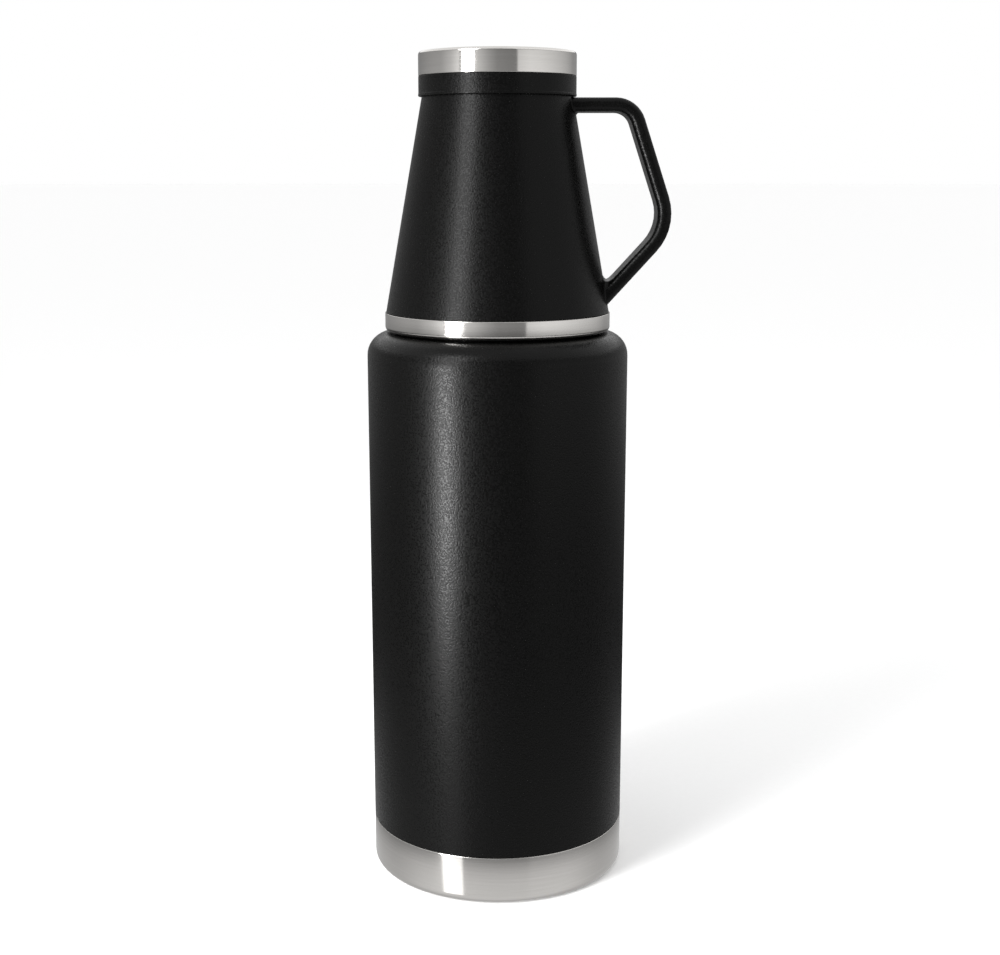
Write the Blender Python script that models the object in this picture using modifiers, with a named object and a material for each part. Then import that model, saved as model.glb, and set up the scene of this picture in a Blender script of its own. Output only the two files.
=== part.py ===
"""A vacuum-insulated growler with a handled mug that is stored upside down over its neck.

Three assemblies share the Z axis: the bottle, the screw stopper in its mouth, and the inverted
mug. Each one hangs on its own empty. Bottle heights are measured up from the table, stopper
heights from the top of the bottle's lip, and mug heights from the plane of the mug's rim.
Lengths are in metres, +Z is up and the mug's handle points along +X.
"""

from math import atan2, cos, pi, radians, sin, tan

import bmesh
import bpy
from mathutils import Matrix, Vector

# Steel sheet and assembly gaps
WALL = 0.0006
GAP = 0.0003
AROUND = 36
AROUND_SMALL = 20
MERGE = 0.00001
FLAT_ANGLE = 0.001
SMOOTH_ANGLE = radians(35)
EMPTY_SIZE = 0.02

# Bottle, outside
BODY_TOP_R = 0.0572
BODY_LOW_R = 0.05685
BASE_R = 0.0568
BASE_CUP_H = 0.0214
BASE_ROUNDING = 0.0038
FOOT_IN_R = 0.0440
BASE_RECESS = 0.0015
SHOULDER_Z = 0.2437
SHOULDER_ROUNDING = 0.0100
BOSS_R = 0.0420
BOSS_Z = 0.2535
NECK_R = 0.0305
MOUTH_Z = 0.2809
PRESSED_ROUNDING = 0.0012
LIP_ROUNDING = 0.0008

# Bottle, inside
LINER_R = 0.0524
LINER_FLOOR_Z = 0.0080
LINER_BOTTOM_T = 0.0010
LINER_SHOULDER_Z = 0.2385
LINER_ROUNDING = 0.0090
THROAT_R = 0.0271
GETTER_R = 0.0050
GETTER_H = 0.0020
GETTER_X = 0.0200

# Evacuation port of either vessel: a small hole in a dimple, closed by a bead
PORT_R = 0.0015
DIMPLE_R = 0.0055
DIMPLE_DEPTH = 0.0020
DIMPLE_SLOPE = 0.0008
BEAD_R = 0.0042
BEAD_SHANK_GAP = 0.0004
BEAD_REACH = 0.0014

# Pressed cup that holds a getter pill
GETTER_CUP_WALL = 0.0005
GETTER_CUP_FLANGE = 0.0026

# Silicone ring on the boss, which grips the inside of the mug
RING_OUT_R = 0.0448
RING_LOW_Z = 0.2460
RING_HIGH_Z = 0.2512
RING_ROUNDING = 0.0008

# Screw thread between throat and stopper: two blunt ridges of one and a half turns
PITCH = 0.0060
THREAD_TURNS = 1.5
RIDGE_ROOT_W = 0.0024
RIDGE_CREST_W = 0.0012
THROAT_CREST_R = 0.0250
PLUG_CREST_R = 0.0259
THROAT_THREAD_Z = 0.2575
THREAD_SEAT = 0.0021
RIDGE_SINK = 0.0004

# Stopper, from the top of the lip
PLUG_R = 0.0245
PLUG_WALL = 0.0020
PLUG_LENGTH = 0.0299
FLANGE_R = 0.0300
GASKET_IN_R = 0.0248
GASKET_OUT_R = 0.0299
GASKET_H = 0.0022
CAP_R = 0.0325
CAP_WALL = 0.0022
CAP_LOW_Z = 0.0013
CAP_TOP_Z = 0.0251
CAP_ROUNDING = 0.0030
CAP_INLAY_R = 0.0215
CAP_INLAY_DEPTH = 0.0012
CAP_INLAY_SLOPE = 0.0004
SCOOPS = 12
SCOOP_R = 0.0034
SCOOP_DEPTH = 0.0011
SCOOP_LOW_Z = 0.0060
SCOOP_TOP_Z = 0.0271
SCOOP_AROUND = 12
STEEL_DISC_R = 0.0238
STEEL_DISC_T = 0.0007

# Mug, from the plane of its rim
MUG_Z = 0.2442
MUG_HEIGHT = 0.1185
CONE_RIM_R = 0.0502
CONE_SLOPE = 0.1806
BAND_R = 0.04915
BAND_TOP = 0.0081
BAND_WALL = 0.00125
LIP_IN_R = 0.0459
LIP_H = 0.0017
BAND_ROUNDING = 0.0021
LIP_IN_ROUNDING = 0.0006
VACUUM_SPACE = 0.0026
MUG_LINER_TOP = 0.1083
MUG_LINER_ROUNDING = 0.0032
COLLAR_Z = 0.0999
COLLAR_R = 0.0338
COLLAR_WALL = 0.0010
SPIGOT_R = 0.0324
SPIGOT_TOP = 0.1058
MUG_FOOT_IN_R = 0.0266
MUG_RECESS = 0.0017
MUG_ROUNDING = 0.0015
MUG_GETTER_R = 0.0040
MUG_GETTER_H = 0.0018
MUG_GETTER_X = 0.0140

# Handle: a bent strap, its centre line in the XZ plane
STRAP_T = 0.0060
STRAP_W = 0.0210
STRAP_ROUNDING = 0.0026
BEVEL_ANGLE = radians(50)
STRAP_ARM_Z = 0.0963
STRAP_TOP_X = 0.0575
STRAP_TOP_BEND = 0.0100
STRAP_ELBOW = (0.0744, 0.0455)
STRAP_ELBOW_BEND = 0.0205
STRAP_LOW_END = (0.0402, 0.0080)
STRAP_ROOT_X = 0.0280
CONE_CUT_LOW = -0.0100
CONE_CUT_HIGH = 0.1099


# ---------------------------------------------------------------- scene helpers


def clear_scene():
    """Removes whatever objects the file starts with."""
    for obj in list(bpy.data.objects):
        bpy.data.objects.remove(obj, do_unlink=True)


def new_collection(name):
    """A collection linked to the scene."""
    collection = bpy.data.collections.new(name)
    bpy.context.scene.collection.children.link(collection)
    return collection


def move_to(obj, collection):
    """Puts an object in one collection only."""
    for old in list(obj.users_collection):
        old.objects.unlink(obj)
    collection.objects.link(obj)


def axis_empty(name, height):
    """The empty that an assembly hangs on, on the common axis."""
    empty = bpy.data.objects.new(name, None)
    empty.location = (0, 0, height)
    empty.empty_display_size = EMPTY_SIZE
    PIECES.objects.link(empty)
    return empty


def material(name, colour, roughness, metallic=0.0):
    """A Principled material."""
    made = bpy.data.materials.new(name)
    made.use_nodes = True
    shader = made.node_tree.nodes["Principled BSDF"]
    shader.inputs["Base Color"].default_value = (*colour, 1.0)
    shader.inputs["Roughness"].default_value = roughness
    shader.inputs["Metallic"].default_value = metallic
    made.diffuse_color = (*colour, 1.0)
    return made


def finish_piece(obj, parent, finish):
    """Hangs a piece on its assembly and gives it its own copy of a finish."""
    own = finish.copy()
    own.name = obj.name
    obj.data.materials.clear()
    obj.data.materials.append(own)
    obj.parent = parent
    obj.data.shade_smooth()
    obj.data.set_sharp_from_angle(angle=SMOOTH_ANGLE)
    move_to(obj, PIECES)
    return obj


def make_helper(obj):
    """Keeps a shape that only cuts or joins others out of the object."""
    obj.hide_render = True
    obj.display_type = "WIRE"
    move_to(obj, CUTTERS)
    return obj


def boolean(obj, other, operation):
    """Cuts another shape from a piece, or joins it on."""
    modifier = obj.modifiers.new(operation.title(), "BOOLEAN")
    modifier.object = other
    modifier.operation = operation
    modifier.solver = "EXACT"


# ---------------------------------------------------------------- outlines


def filleted(corners, steps=1):
    """Turns corners (a, b) or (a, b, radius) into points, with an arc at each radius.

    The first and last corners stay sharp. A corner may give its own number of arc steps as a
    fourth value.
    """
    points = [Vector(corners[0][:2])]
    for i in range(1, len(corners) - 1):
        corner = Vector(corners[i][:2])
        if len(corners[i]) == 2:
            points.append(corner)
            continue
        radius = corners[i][2]
        count = corners[i][3] if len(corners[i]) > 3 else steps
        back = (Vector(corners[i - 1][:2]) - corner).normalized()
        ahead = (Vector(corners[i + 1][:2]) - corner).normalized()
        half = back.angle(ahead) / 2
        centre = corner + (back + ahead).normalized() * radius / sin(half)
        start = corner + back * radius / tan(half) - centre
        end = corner + ahead * radius / tan(half) - centre
        turn = atan2(start.cross(end), start.dot(end))
        for k in range(count + 1):
            angle = turn * k / count
            spun = Vector(
                (
                    start.x * cos(angle) - start.y * sin(angle),
                    start.x * sin(angle) + start.y * cos(angle),
                )
            )
            points.append(centre + spun)
    points.append(Vector(corners[-1][:2]))
    return points


def turned(name, points, loop=False, wall=None, around=AROUND):
    """A turned piece: its profile runs down the outer side and is spun about Z.

    A loop makes a ring, an open profile between two points on the axis makes a solid, and an
    open profile with a wall makes a shell of that thickness, inward from the profile.
    """
    mesh = bpy.data.meshes.new(name)
    count = len(points)
    edges = [(i, i + 1) for i in range(count - 1)]
    if loop:
        edges.append((count - 1, 0))
    mesh.from_pydata([(p[0], 0, p[1]) for p in points], edges, [])
    obj = bpy.data.objects.new(name, mesh)
    bpy.context.scene.collection.objects.link(obj)
    screw = obj.modifiers.new("Turn", "SCREW")
    screw.axis = "Z"
    screw.steps = around
    screw.render_steps = around
    screw.use_merge_vertices = True
    screw.merge_threshold = MERGE
    if wall:
        solidify = obj.modifiers.new("Wall", "SOLIDIFY")
        solidify.thickness = wall
        solidify.offset = -1
        solidify.use_even_offset = True
    return obj


def disc(name, radius, low, high, around=AROUND, x=0.0):
    """A flat round plate, or with x a pill beside the axis."""
    bpy.ops.mesh.primitive_cylinder_add(
        vertices=around,
        radius=radius,
        depth=high - low,
        location=(x, 0, (low + high) / 2),
    )
    obj = bpy.context.active_object
    obj.name = name
    obj.data.name = name
    return obj


def thread_ridge(name, root_r, crest_r, start_z):
    """A right-handed helical ridge with blunt ends, of trapezoid section."""
    section = (
        (root_r, -RIDGE_ROOT_W / 2),
        (crest_r, -RIDGE_CREST_W / 2),
        (crest_r, RIDGE_CREST_W / 2),
        (root_r, RIDGE_ROOT_W / 2),
    )
    steps = round(AROUND * THREAD_TURNS)
    bm = bmesh.new()
    face = bm.faces.new([bm.verts.new((r, 0, start_z + z)) for r, z in section])
    bmesh.ops.spin(
        bm,
        geom=[face],
        cent=(0, 0, 0),
        axis=(0, 0, 1),
        dvec=(0, 0, PITCH * THREAD_TURNS / steps),
        angle=2 * pi * THREAD_TURNS,
        steps=steps,
    )
    bmesh.ops.recalc_face_normals(bm, faces=bm.faces)
    mesh = bpy.data.meshes.new(name)
    bm.to_mesh(mesh)
    bm.free()
    obj = bpy.data.objects.new(name, mesh)
    bpy.context.scene.collection.objects.link(obj)
    return make_helper(obj)


def cone_r(height):
    """Outer radius of the mug's cone at a height above the rim plane."""
    return CONE_RIM_R - CONE_SLOPE * height


# ---------------------------------------------------------------- bottle


def port_floor(recess, direction, foot):
    """Profile of a recessed base from its outer step to the evacuation port, or its mirror."""
    floor = foot + direction * recess
    dimple = floor + direction * DIMPLE_DEPTH
    return [
        (DIMPLE_R + DIMPLE_SLOPE, floor),
        (DIMPLE_R, dimple),
        (PORT_R, dimple),
    ]


def growler_shell():
    """Outer wall and shoulder, drawn from one tube."""
    corners = [
        (BOSS_R + GAP, SHOULDER_Z),
        (BODY_TOP_R, SHOULDER_Z, SHOULDER_ROUNDING, 5),
        (BODY_LOW_R, BASE_CUP_H + GAP),
    ]
    return turned("growler_shell", filleted(corners), wall=WALL)


def growler_boss():
    """Pressed ring with the boss and the outer neck, welded into the shoulder's hole."""
    corners = [
        (NECK_R, MOUTH_Z - WALL - GAP),
        (NECK_R, BOSS_Z, PRESSED_ROUNDING),
        (BOSS_R, BOSS_Z, PRESSED_ROUNDING),
        (BOSS_R, SHOULDER_Z - WALL),
    ]
    return turned("growler_boss", filleted(corners), wall=WALL)


def growler_base_cup():
    """Bare base: a foot ring to stand on, and a recessed floor with the evacuation port."""
    corners = [
        (BASE_R, BASE_CUP_H),
        (BASE_R, 0, BASE_ROUNDING, 3),
        (FOOT_IN_R, 0),
        (FOOT_IN_R - DIMPLE_SLOPE, BASE_RECESS),
        *port_floor(BASE_RECESS, 1, 0),
    ]
    return turned("growler_base_cup", filleted(corners), wall=WALL)


def growler_liner():
    """Inner wall with its shoulder."""
    corners = [
        (THROAT_R + GAP, LINER_SHOULDER_Z),
        (LINER_R, LINER_SHOULDER_Z, LINER_ROUNDING, 3),
        (LINER_R, LINER_FLOOR_Z + LINER_BOTTOM_T + GAP),
    ]
    return turned("growler_liner", filleted(corners), wall=WALL)


def growler_throat():
    """Threaded tube, welded into the inner shoulder, its lip flared over the outer neck."""
    lip = MOUTH_Z - WALL
    corners = [(NECK_R, lip), (THROAT_R, lip, LIP_ROUNDING), (THROAT_R, LINER_SHOULDER_Z - WALL)]
    obj = turned("growler_throat", filleted(corners), wall=WALL)
    wall_r = THROAT_R - WALL
    ridge = thread_ridge("throat_ridge", wall_r + RIDGE_SINK, THROAT_CREST_R, THROAT_THREAD_Z)
    boolean(obj, ridge, "UNION")
    return obj


def growler_liner_bottom():
    """Bottom plate that is welded to the end of the inner wall."""
    top = LINER_FLOOR_Z + LINER_BOTTOM_T
    return disc("growler_liner_bottom", LINER_R, LINER_FLOOR_Z, top)


def getter_cup(name, radius, height, face, direction, x):
    """Small pressed cup with a flange, which holds a getter pill against a vessel's end.

    It opens towards the face at that height; direction says which way its closed end lies.
    """
    wall = GETTER_CUP_WALL
    near = face + direction * (GAP + wall)
    far = face + direction * (GAP + height + 2 * GAP + wall)
    outer = radius + GAP + wall
    points = [(outer + GETTER_CUP_FLANGE, near), (outer, near), (outer, far), (0, far)]
    if direction > 0:
        points.reverse()
    obj = turned(name, points, wall=wall, around=AROUND_SMALL)
    obj.location.x = x
    return obj


def getter_pill(name, radius, height, face, direction, x):
    """Getter pill, which takes up the last gas in the vacuum space."""
    ends = (face + direction * GAP, face + direction * (GAP + height))
    return disc(name, radius, min(ends), max(ends), AROUND_SMALL, x)


def port_bead(name, dimple, direction):
    """Bead that seals an evacuation port, with a short shank through the hole."""
    shank_r = PORT_R - BEAD_SHANK_GAP
    head = dimple - direction * GAP
    outside = dimple - direction * (DIMPLE_DEPTH - GAP)
    inside = dimple + direction * BEAD_REACH
    points = [
        (0, inside),
        (shank_r, inside),
        (shank_r, head),
        (BEAD_R, head),
        (BEAD_R, outside),
        (0, outside),
    ]
    if direction < 0:
        points.reverse()
    return turned(name, points, around=AROUND_SMALL)


def grip_ring():
    """Silicone ring stretched round the boss."""
    inner = BOSS_R + GAP
    corners = [
        (inner, RING_HIGH_Z),
        (RING_OUT_R, RING_HIGH_Z, RING_ROUNDING),
        (RING_OUT_R, RING_LOW_Z, RING_ROUNDING),
        (inner, RING_LOW_Z),
    ]
    return turned("mug_grip_ring", filleted(corners), loop=True)


def build_bottle():
    """The bottle's pieces."""
    axis = axis_empty("growler_axis", 0)
    dimple = BASE_RECESS + DIMPLE_DEPTH
    floor = LINER_FLOOR_Z
    disc_top = BASE_RECESS - GAP
    finish_piece(growler_shell(), axis, COAT)
    finish_piece(growler_boss(), axis, COAT)
    finish_piece(growler_base_cup(), axis, STEEL)
    finish_piece(growler_liner(), axis, STEEL)
    finish_piece(growler_throat(), axis, STEEL)
    finish_piece(growler_liner_bottom(), axis, STEEL)
    pill = getter_pill("growler_getter", GETTER_R, GETTER_H, floor, -1, GETTER_X)
    finish_piece(pill, axis, GETTER)
    cup = getter_cup("growler_getter_cup", GETTER_R, GETTER_H, floor, -1, GETTER_X)
    finish_piece(cup, axis, STEEL)
    finish_piece(port_bead("growler_vacuum_seal", dimple, 1), axis, SOLDER)
    plate_r = FOOT_IN_R - DIMPLE_SLOPE - 2 * GAP
    plate = disc("growler_base_disc", plate_r, disc_top - WALL, disc_top)
    finish_piece(plate, axis, STEEL)
    finish_piece(grip_ring(), axis, SILICONE)


# ---------------------------------------------------------------- stopper


def stopper_plug():
    """Hollow threaded plug with a flange that carries the gasket."""
    underside = GAP + GASKET_H + GAP
    corners = [(FLANGE_R, underside), (PLUG_R, underside), (PLUG_R, -PLUG_LENGTH), (0, -PLUG_LENGTH)]
    obj = turned("stopper_plug", filleted(corners), wall=PLUG_WALL)
    start = THROAT_THREAD_Z - THREAD_SEAT - MOUTH_Z
    boolean(obj, thread_ridge("plug_ridge", PLUG_R - RIDGE_SINK, PLUG_CREST_R, start), "UNION")
    return obj


def stopper_cap(axis):
    """Knob with scooped grips and a recess for the steel inlay."""
    inlay_z = CAP_TOP_Z - CAP_INLAY_DEPTH
    corners = [
        (0, inlay_z),
        (CAP_INLAY_R, inlay_z),
        (CAP_INLAY_R + CAP_INLAY_SLOPE, CAP_TOP_Z),
        (CAP_R, CAP_TOP_Z, CAP_ROUNDING, 3),
        (CAP_R, CAP_LOW_Z),
    ]
    obj = turned("stopper_cap", filleted(corners), wall=CAP_WALL)
    scoop_centre = CAP_R + SCOOP_R - SCOOP_DEPTH
    for i in range(SCOOPS):
        angle = 2 * pi * (i + 0.5) / SCOOPS
        bpy.ops.mesh.primitive_cylinder_add(
            vertices=SCOOP_AROUND,
            radius=SCOOP_R,
            depth=SCOOP_TOP_Z - SCOOP_LOW_Z,
            location=(
                scoop_centre * cos(angle),
                scoop_centre * sin(angle),
                (SCOOP_TOP_Z + SCOOP_LOW_Z) / 2,
            ),
        )
        scoop = bpy.context.active_object
        scoop.name = f"scoop_{i + 1}"
        scoop.parent = axis
        boolean(obj, make_helper(scoop), "DIFFERENCE")
    return obj


def stopper_foam():
    """Insulating foam that fills the knob and the plug."""
    step = GAP + GASKET_H + GAP + PLUG_WALL + GAP
    wide = CAP_R - CAP_WALL - 2 * GAP
    narrow = PLUG_R - PLUG_WALL - GAP
    top = CAP_TOP_Z - CAP_INLAY_DEPTH - CAP_WALL - GAP
    low = PLUG_WALL + GAP - PLUG_LENGTH
    points = [(0, top), (wide, top), (wide, step), (narrow, step), (narrow, low), (0, low)]
    return turned("stopper_foam", points)


def build_stopper():
    """The stopper's pieces."""
    axis = axis_empty("stopper_axis", MOUTH_Z)
    finish_piece(stopper_cap(axis), axis, BLACK_PLASTIC)
    plug = stopper_plug()
    for modifier in plug.modifiers:
        if modifier.type == "BOOLEAN":
            modifier.object.parent = axis
    finish_piece(plug, axis, BLACK_PLASTIC)
    finish_piece(stopper_foam(), axis, FOAM)
    seal = [
        (GASKET_OUT_R, GAP + GASKET_H),
        (GASKET_OUT_R, GAP),
        (GASKET_IN_R, GAP),
        (GASKET_IN_R, GAP + GASKET_H),
    ]
    finish_piece(turned("stopper_gasket", seal, loop=True), axis, SILICONE)
    under = -PLUG_LENGTH - GAP
    plate = disc("stopper_steel_disc", STEEL_DISC_R, under - STEEL_DISC_T, under)
    finish_piece(plate, axis, STEEL)
    inlay = CAP_TOP_Z - CAP_INLAY_DEPTH + GAP
    plate = disc("stopper_top_inlay", CAP_INLAY_R - 2 * GAP, inlay, inlay + WALL)
    finish_piece(plate, axis, STEEL)


# ---------------------------------------------------------------- mug


def mug_shell():
    """Coated cone, with a short spigot that enters the base cup."""
    low = BAND_TOP + GAP
    points = [(SPIGOT_R, SPIGOT_TOP), (SPIGOT_R, COLLAR_Z), (cone_r(low), low)]
    return turned("mug_shell", points, wall=WALL)


def mug_liner():
    """Inner cup, a steady distance inside the cone."""
    inset = WALL + VACUUM_SPACE
    corners = [
        (0, MUG_LINER_TOP),
        (cone_r(MUG_LINER_TOP) - inset, MUG_LINER_TOP, MUG_LINER_ROUNDING, 3),
        (cone_r(LIP_H + GAP) - inset, LIP_H + GAP),
    ]
    return turned("mug_liner", filleted(corners), wall=WALL)


def mug_rim_band():
    """Bare steel lip that joins the two walls and stands a little proud of the cone."""
    inner = BAND_R - BAND_WALL
    corners = [
        (BAND_R, BAND_TOP),
        (BAND_R, 0, BAND_ROUNDING, 3),
        (LIP_IN_R, 0, LIP_IN_ROUNDING),
        (LIP_IN_R, LIP_H),
        (inner, LIP_H),
        (inner, BAND_TOP),
    ]
    return turned("mug_rim_band", filleted(corners), loop=True)


def mug_base_cup():
    """Base cup with a coated collar, a bare end and a recessed floor."""
    corners = [
        (MUG_FOOT_IN_R - DIMPLE_SLOPE, MUG_HEIGHT - MUG_RECESS),
        (MUG_FOOT_IN_R, MUG_HEIGHT),
        (COLLAR_R, MUG_HEIGHT, MUG_ROUNDING, 3),
        (COLLAR_R, COLLAR_Z),
    ]
    port = port_floor(MUG_RECESS, -1, MUG_HEIGHT)
    return turned("mug_base_cup", filleted([*reversed(port), *corners]), wall=COLLAR_WALL)


def strap_outline():
    """Outline of the bent strap: its centre line offset to both sides."""
    corners = [
        (STRAP_ROOT_X, STRAP_ARM_Z),
        (STRAP_TOP_X, STRAP_ARM_Z, STRAP_TOP_BEND, 7),
        (*STRAP_ELBOW, STRAP_ELBOW_BEND, 6),
        STRAP_LOW_END,
    ]
    line = filleted(corners)
    sides = ([], [])
    for i, point in enumerate(line):
        before = line[max(i - 1, 0)]
        after = line[min(i + 1, len(line) - 1)]
        along = (after - before).normalized()
        for side, sign in zip(sides, (1, -1)):
            side.append(point + Vector((-along.y, along.x)) * sign * STRAP_T / 2)
    return sides[0] + sides[1][::-1]


def mug_handle(axis):
    """Flat strap handle, its ends cut to the cone that they are welded to."""
    outline = strap_outline()
    curve = bpy.data.curves.new("mug_handle", "CURVE")
    curve.dimensions = "2D"
    curve.fill_mode = "BOTH"
    curve.extrude = STRAP_W / 2
    spline = curve.splines.new("POLY")
    spline.points.add(len(outline) - 1)
    for point, place in zip(spline.points, outline):
        point.co = (place.x, place.y, 0, 1)
    spline.use_cyclic_u = True
    flat = bpy.data.objects.new("strap_curve", curve)
    bpy.context.scene.collection.objects.link(flat)
    graph = bpy.context.evaluated_depsgraph_get()
    mesh = bpy.data.meshes.new_from_object(flat.evaluated_get(graph))
    bpy.data.objects.remove(flat, do_unlink=True)
    mesh.name = "mug_handle"
    bm = bmesh.new()
    bm.from_mesh(mesh)
    bmesh.ops.remove_doubles(bm, verts=bm.verts, dist=MERGE)
    bmesh.ops.dissolve_limit(bm, angle_limit=FLAT_ANGLE, verts=bm.verts, edges=bm.edges)
    upright = Matrix.Rotation(pi / 2, 3, "X")
    bmesh.ops.rotate(bm, cent=(0, 0, 0), matrix=upright, verts=bm.verts)
    bmesh.ops.recalc_face_normals(bm, faces=bm.faces)
    bm.to_mesh(mesh)
    bm.free()
    obj = bpy.data.objects.new("mug_handle", mesh)
    bpy.context.scene.collection.objects.link(obj)
    bevel = obj.modifiers.new("Rounding", "BEVEL")
    bevel.width = STRAP_ROUNDING
    bevel.segments = 2
    bevel.limit_method = "ANGLE"
    bevel.angle_limit = BEVEL_ANGLE
    bpy.ops.mesh.primitive_cone_add(
        vertices=AROUND * 2,
        radius1=cone_r(CONE_CUT_LOW) + GAP,
        radius2=cone_r(CONE_CUT_HIGH) + GAP,
        depth=CONE_CUT_HIGH - CONE_CUT_LOW,
        location=(0, 0, (CONE_CUT_LOW + CONE_CUT_HIGH) / 2),
    )
    cutter = bpy.context.active_object
    cutter.name = "cone_space"
    cutter.parent = axis
    boolean(obj, make_helper(cutter), "DIFFERENCE")
    return obj


def build_mug():
    """The mug's pieces."""
    axis = axis_empty("mug_axis", MUG_Z)
    floor = MUG_HEIGHT - MUG_RECESS
    finish_piece(mug_shell(), axis, COAT)
    finish_piece(mug_base_cup(), axis, COAT)
    finish_piece(mug_liner(), axis, STEEL)
    finish_piece(mug_rim_band(), axis, STEEL)
    end = MUG_LINER_TOP
    pill = getter_pill("mug_getter", MUG_GETTER_R, MUG_GETTER_H, end, 1, MUG_GETTER_X)
    finish_piece(pill, axis, GETTER)
    cup = getter_cup("mug_getter_cup", MUG_GETTER_R, MUG_GETTER_H, end, 1, MUG_GETTER_X)
    finish_piece(cup, axis, STEEL)
    finish_piece(port_bead("mug_vacuum_seal", floor - DIMPLE_DEPTH, -1), axis, SOLDER)
    plate_r = MUG_FOOT_IN_R - DIMPLE_SLOPE - 2 * GAP
    plate = disc("mug_base_disc", plate_r, floor + GAP, floor + GAP + WALL)
    finish_piece(plate, axis, STEEL)
    finish_piece(mug_handle(axis), axis, COAT)


# ---------------------------------------------------------------- whole object

clear_scene()
PIECES = new_collection("growler")
CUTTERS = new_collection("cutters")
COAT = material("powder_coat", (0.012, 0.012, 0.012), 0.55)
STEEL = material("brushed_steel", (0.60, 0.58, 0.55), 0.28, 1.0)
SILICONE = material("silicone", (0.035, 0.035, 0.037), 0.70)
BLACK_PLASTIC = material("black_plastic", (0.020, 0.020, 0.021), 0.45)
FOAM = material("foam", (0.80, 0.78, 0.70), 0.95)
GETTER = material("getter_alloy", (0.28, 0.27, 0.26), 0.60, 1.0)
SOLDER = material("solder", (0.55, 0.55, 0.56), 0.35, 1.0)
build_bottle()
build_stopper()
build_mug()
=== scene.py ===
"""Looks of the growler: fine turned shells, a welded strap handle, powder coat and brushed steel.

Lengths are in metres. The bottle stands on z = 0 and the mug's handle points along +X.
"""

from math import atan2, cos, hypot, pi, radians, sin, tan

import bmesh
import bpy
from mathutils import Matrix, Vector


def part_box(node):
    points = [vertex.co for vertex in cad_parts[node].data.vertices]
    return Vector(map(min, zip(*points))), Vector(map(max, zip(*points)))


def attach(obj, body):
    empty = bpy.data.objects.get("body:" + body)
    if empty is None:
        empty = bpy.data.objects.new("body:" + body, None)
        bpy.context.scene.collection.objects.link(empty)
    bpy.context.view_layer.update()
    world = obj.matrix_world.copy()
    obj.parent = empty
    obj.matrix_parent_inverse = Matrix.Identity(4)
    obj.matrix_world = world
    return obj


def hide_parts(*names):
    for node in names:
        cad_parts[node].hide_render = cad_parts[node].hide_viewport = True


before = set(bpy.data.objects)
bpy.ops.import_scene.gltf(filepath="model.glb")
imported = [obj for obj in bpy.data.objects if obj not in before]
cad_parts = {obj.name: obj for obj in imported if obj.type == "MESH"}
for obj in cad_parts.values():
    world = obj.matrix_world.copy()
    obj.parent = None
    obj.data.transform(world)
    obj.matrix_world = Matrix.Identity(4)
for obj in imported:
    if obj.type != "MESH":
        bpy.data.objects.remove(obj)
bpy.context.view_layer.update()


# ---------------------------------------------------------------- sizes from the frame


def top_of(node):
    """Highest z of a CAD node."""
    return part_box(node)[1][2]


def foot_of(node):
    """Lowest z of a CAD node."""
    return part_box(node)[0][2]


def radius_of(node):
    """Largest radius of a turned CAD node."""
    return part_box(node)[1][1]


WALL = 0.0006
GAP = 0.0003
EDGE = 0.00025
AROUND = 192
AROUND_LARGE = 256

BODY_TOP_R = radius_of("growler_shell")
BODY_LOW_R = BODY_TOP_R - 0.00035
SHELL_LOW = foot_of("growler_shell")
NECK_TOP = top_of("growler_boss")
BASE_R = radius_of("growler_base_cup")
BASE_TOP = top_of("growler_base_cup")
BASE_ROUNDING = 0.0038
BASE_RECESS_ROUNDING = 0.0005
PLATE_R = radius_of("growler_base_disc")
PLATE_TOP = top_of("growler_base_disc")
SHOULDER_Z = 0.2437
SHOULDER_ROUNDING = 0.0100
BOSS_R = radius_of("growler_boss")
BOSS_LOW = foot_of("growler_boss")
BOSS_Z = 0.2535
NECK_R = 0.0305
PRESSED_ROUNDING = 0.0012
MOUTH_Z = top_of("growler_throat")
THROAT_LOW = foot_of("growler_throat")
THROAT_R = 0.0271
LIP_ROUNDING = 0.0008
PORT_R = 0.0015
DIMPLE_R = 0.0055
DIMPLE_DEPTH = 0.0020
DIMPLE_SLOPE = 0.0008

PITCH = 0.0060
THREAD_TURNS = 1.5
THREAD_RUNOUT = 12
RIDGE_ROOT_W = 0.0024
RIDGE_CREST_W = 0.0012
RIDGE_SINK = 0.0004
THROAT_CREST_R = 0.0250
PLUG_CREST_R = 0.0259
THROAT_THREAD_Z = 0.2575
THREAD_SEAT = 0.0021

RING_LOW = foot_of("mug_grip_ring")
RING_TOP = top_of("mug_grip_ring")
RING_R = radius_of("mug_grip_ring")
FINS = 3
FIN_ROUNDING = 0.0005
GROOVE_DEPTH = 0.0008
GROOVE_HALF_H = 0.0003
GROOVE_ROUNDING = 0.0002

MUG_LOW = foot_of("mug_rim_band")
BAND_TOP = top_of("mug_rim_band")
BAND_R = radius_of("mug_rim_band")
BAND_WALL = 0.00125
DRINKING_ROUNDING = 0.0022
LIP_IN_R = 0.0459
LIP_H = 0.0017
LIP_IN_ROUNDING = 0.0007
CONE_LOW = foot_of("mug_shell")
CONE_RIM_R = 0.0502
CONE_SLOPE = 0.1806
SPIGOT_R = 0.0324
SPIGOT_TOP = top_of("mug_shell")
SPIGOT_ROUNDING = 0.0005
LINER_TOP = top_of("mug_liner")
LINER_LOW = foot_of("mug_liner")
LINER_INSET = 0.0032
LINER_ROUNDING = 0.0032
COLLAR_LOW = foot_of("mug_base_cup")
COLLAR_R = radius_of("mug_base_cup")
COLLAR_COAT_TOP = COLLAR_LOW + 0.00835
COLLAR_WALL = 0.0010
COLLAR_COAT_ROUNDING = 0.0002
BEAD_H = 0.0009
BEAD_RUN = 0.0003
BEAD_OUT = 0.0001
BEAD_ROUNDING = 0.0003
BEAD_TOP_ROUNDING = 0.0004
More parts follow.
